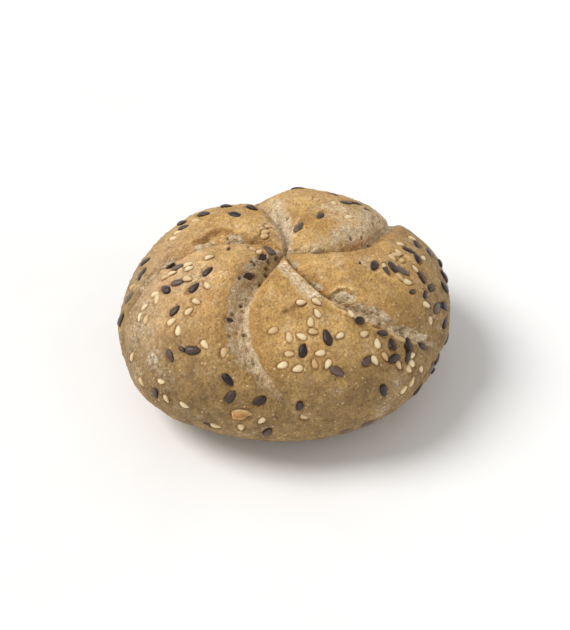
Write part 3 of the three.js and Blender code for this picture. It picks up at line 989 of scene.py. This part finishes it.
def drop_mesh(kind, rng):
    """Points and faces of one seed round the origin, pointed towards +X, and its edge mask."""
    length, width, thickness, taper = SEED_SIZES[kind]
    angles = np.linspace(0, 2 * np.pi, SEED_SIDES, endpoint=False)
    turns = np.pi * np.arange(1, SEED_RINGS) / SEED_RINGS
    along = -np.cos(turns)
    radius = np.sin(turns) * (1 - taper * along) * (1 + SEED_SHOULDER * taper * (1 - along ** 2))
    bend = rng.uniform(-SEED_BEND, SEED_BEND)
    curl = rng.uniform(*SEED_CURL)
    side = np.cos(angles)
    up = np.sign(np.sin(angles)) * np.abs(np.sin(angles)) ** (SEED_FLATNESS / 2)
    x = np.repeat(along, SEED_SIDES)
    y = np.outer(radius, side).ravel() + bend * (1 - x ** 2)
    z = np.outer(radius, up).ravel()
    points = np.stack([x * length / 2, y * width / 2, z * thickness / 2], axis=-1)
    ends = np.array([[-length / 2, 0, 0], [length / 2, 0, 0]])
    points = np.concatenate([points, ends])
    points[:, 2] -= curl * (points[:, 0] / (length / 2)) ** 2
    edge = np.concatenate([np.abs(np.tile(side, SEED_RINGS - 1)) ** EDGE_POWER, [1, 1]])
    edge = np.maximum(edge, np.abs(np.concatenate([x, [-1, 1]])) ** TIP_POWER)
    return points, drop_faces(), edge


def seed_on_crust(tree, kind, seat, rng):
    """One seed's points where it lies on the finished crust."""
    reach = Vector(seat["point"] * MM)
    ray = (reach - Vector(HUB * MM)).normalized()
    found, *_ = tree.ray_cast(reach + ray * RAY_LEAD, -ray, 2 * RAY_LEAD)
    place = np.array(found) / MM if found else seat["point"]
    size = rng.uniform(*SEED_GROWTH) * seat["size"]
    points, faces, edge = drop_mesh(kind, rng)
    points = points * size
    if kind == "kernel":
        points = points + layered(points[:, None] + KERNEL_SHIFTS, KERNEL_RAGGED)
    lift = seat["lift"] + SEED_LIFTS[kind] + rng.uniform(*LIFT_SPREAD)
    along = seat["along"] + seat["outward"] * rng.uniform(-SEED_TIP, SEED_TIP)
    outward = seat["outward"] + seat["aside"] * rng.uniform(-SEED_ROLL, SEED_ROLL)
    leaned = seed_frame(place, along, outward)
    axes = np.stack([leaned["along"], leaned["aside"], leaned["outward"]])
    return points @ axes + place + seat["outward"] * lift, faces, edge


def make_seeds(name, kind, seats, tree, material, rng):
    """One piece that holds all the seeds whose seats are given."""
    points, faces = [], []
    masks = {"edge": [], "tone": [], "dust": []}
    count = 0
    for seat in seats:
        seed_points, seed_faces, edge = seed_on_crust(tree, kind, seat, rng)
        points.append(seed_points)
        faces += [[index + count for index in face] for face in seed_faces]
        count += len(seed_points)
        masks["edge"].append(edge)
        masks["tone"].append(np.full(len(seed_points), rng.uniform(0, 1) ** TONE_POWER))
        masks["dust"].append(np.full(len(seed_points), rng.uniform(0, 1) ** DUST_POWER))
    piece = mesh_from(name, np.concatenate(points), faces, material)
    for mask, values in masks.items():
        set_mask(piece.data, mask, np.concatenate(values))
    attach(piece, "root")
    return piece


# ---- seeds strewn over the hidden sides

STREW_BEARINGS = (5, 205)
STREW_TILTS = (55, 100)
CLUSTERS = 19
CLUSTER_SPREAD = (11, 8)  # of the seeds round a cluster's middle, in bearing and in tilt
FRONT = np.array([0, -0.73, 0.68])  # the way that the side that shows looks
FACING_AWAY = -0.12  # the most that a strewn seed may look that way
NEAREST_SEEDS = 3.4


def strewn_seats(taken, count, rng):
    """Places for more seeds, in loose clusters, none too near another."""
    centres = np.stack([rng.uniform(*STREW_BEARINGS, CLUSTERS), rng.uniform(*STREW_TILTS, CLUSTERS)], 1)
    placed = [seat["point"] for seat in taken]
    seats = []
    while len(seats) < count:
        bearing, tilt = centres[rng.integers(CLUSTERS)] + rng.normal(0, 1, 2) * CLUSTER_SPREAD
        inside = STREW_BEARINGS[0] < bearing < STREW_BEARINGS[1]
        if not inside or not STREW_TILTS[0] < tilt < STREW_TILTS[1]:
            continue
        seat = seat_at(bearing, tilt, rng.uniform(0, 360))
        if seat["outward"] @ FRONT > FACING_AWAY:
            continue
        if min(np.linalg.norm(point - seat["point"]) for point in placed) < NEAREST_SEEDS:
            continue
        placed.append(seat["point"])
        seats.append(seat)
    return seats


# ---- the object

RANDOM_SEED = 20
STREWN_LINSEEDS = 54
STREWN_SESAMES = 62

rng = np.random.default_rng(RANDOM_SEED)
cad_seats = {}
for node in sorted(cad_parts):
    for start, kind in CAD_KINDS.items():
        if node.startswith(start):
            cad_seats[node] = (kind, cad_seat(node))
more_linseeds = [seat_at(*place) for place in MORE_LINSEEDS]
more_sesames = [seat_at(*place) for place in MORE_SESAMES]
shown = [seat for _, seat in cad_seats.values()] + more_linseeds + more_sesames
strewn_linseeds = strewn_seats(shown, STREWN_LINSEEDS, rng)
strewn_sesames = strewn_seats(shown + strewn_linseeds, STREWN_SESAMES, rng)
all_seats = list(cad_seats.values())
all_seats += [("linseed", seat) for seat in more_linseeds + strewn_linseeds]
all_seats += [("sesame", seat) for seat in more_sesames + strewn_sesames]

crust = make_crust(all_seats, crust_material())
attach(crust, "root")
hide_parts("bread_roll")

materials = {"linseed": linseed_material(), "sesame": sesame_material(), "kernel": kernel_material()}
bpy.context.view_layer.update()
tree = BVHTree.FromObject(crust, bpy.context.evaluated_depsgraph_get())
for node, (kind, seat) in cad_seats.items():
    piece = make_seeds("baked_" + node, kind, [seat], tree, materials[kind], rng)
    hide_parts(node)
make_seeds("more_linseeds", "linseed", more_linseeds, tree, materials["linseed"], rng)
make_seeds("more_sesame_seeds", "sesame", more_sesames, tree, materials["sesame"], rng)
make_seeds("strewn_linseeds", "linseed", strewn_linseeds, tree, materials["linseed"], rng)
make_seeds("strewn_sesame_seeds", "sesame", strewn_sesames, tree, materials["sesame"], rng)

# ---- floor, light and camera

SWEEP_RADII = [1.1, 1.2, 1.7, 2.1, 2.35, 2.45]  # metres; level to the second, then it curves up
SWEEP_HEIGHTS = [0, 0, 0.06, 0.25, 0.6, 1.1]
SWEEP_SIDES = 96
CAMERA_ELEVATION = 43.0
CAMERA_DISTANCE = 0.6  # metres
CAMERA_LENS = 104.0
CAMERA_TARGET = Vector(HUB * MM)


def floor_material():
    s = Shader("floor")
    s.finish("Base Color", s.mix(s.noise(60), "floor", "floor shade"))
    s.finish("Roughness", 0.9)
    return s.material


def add_floor():
    """A level floor round the roll, which curves up into a low wall far from it."""
    turns = np.linspace(0, 2 * np.pi, SWEEP_SIDES, endpoint=False)
    ring = np.stack([np.cos(turns), np.sin(turns), np.zeros(SWEEP_SIDES)], axis=-1)
    points = [ring * radius + [0, 0, height] for radius, height in zip(SWEEP_RADII, SWEEP_HEIGHTS)]
    rings = np.arange(len(SWEEP_RADII) * SWEEP_SIDES).reshape(-1, SWEEP_SIDES)
    faces = [rings[0].tolist(), *ring_faces(rings).tolist()]
    floor = mesh_from("floor", np.concatenate(points) / MM, faces, floor_material())


def add_sun(name, towards, strength, spread, tint):
    """A broad light from far away: its place is only the way that it comes from."""
    light = bpy.data.lights.new(name, "SUN")
    light.energy = strength
    light.angle = math.radians(spread)
    light.color = tint
    lamp = add_object(name, light)
    lamp.location = Vector(towards)
    lamp.rotation_euler = Vector(towards).to_track_quat("Z", "Y").to_euler()


def add_world(strength):
    world = bpy.data.worlds.new("studio")
    world.use_nodes = True
    background = world.node_tree.nodes["Background"]
    background.inputs["Color"].default_value = (1, 1, 1, 1)
    background.inputs["Strength"].default_value = strength
    bpy.context.scene.world = world


def add_camera():
    data = bpy.data.cameras.new("camera")
    data.lens = CAMERA_LENS
    camera = add_object("camera", data)
    elevation = math.radians(CAMERA_ELEVATION)
    back = Vector((0, -math.cos(elevation), math.sin(elevation)))
    camera.location = CAMERA_TARGET + back * CAMERA_DISTANCE
    camera.rotation_euler = (-back).to_track_quat("-Z", "Y").to_euler()
    bpy.context.scene.camera = camera


add_floor()
add_world(strength=0.48)
add_sun("key", towards=(-0.62, 0.04, 0.78), strength=2.3, spread=30, tint=(1.0, 0.985, 0.96))
add_camera()
bpy.context.scene.view_settings.view_transform = "Standard"
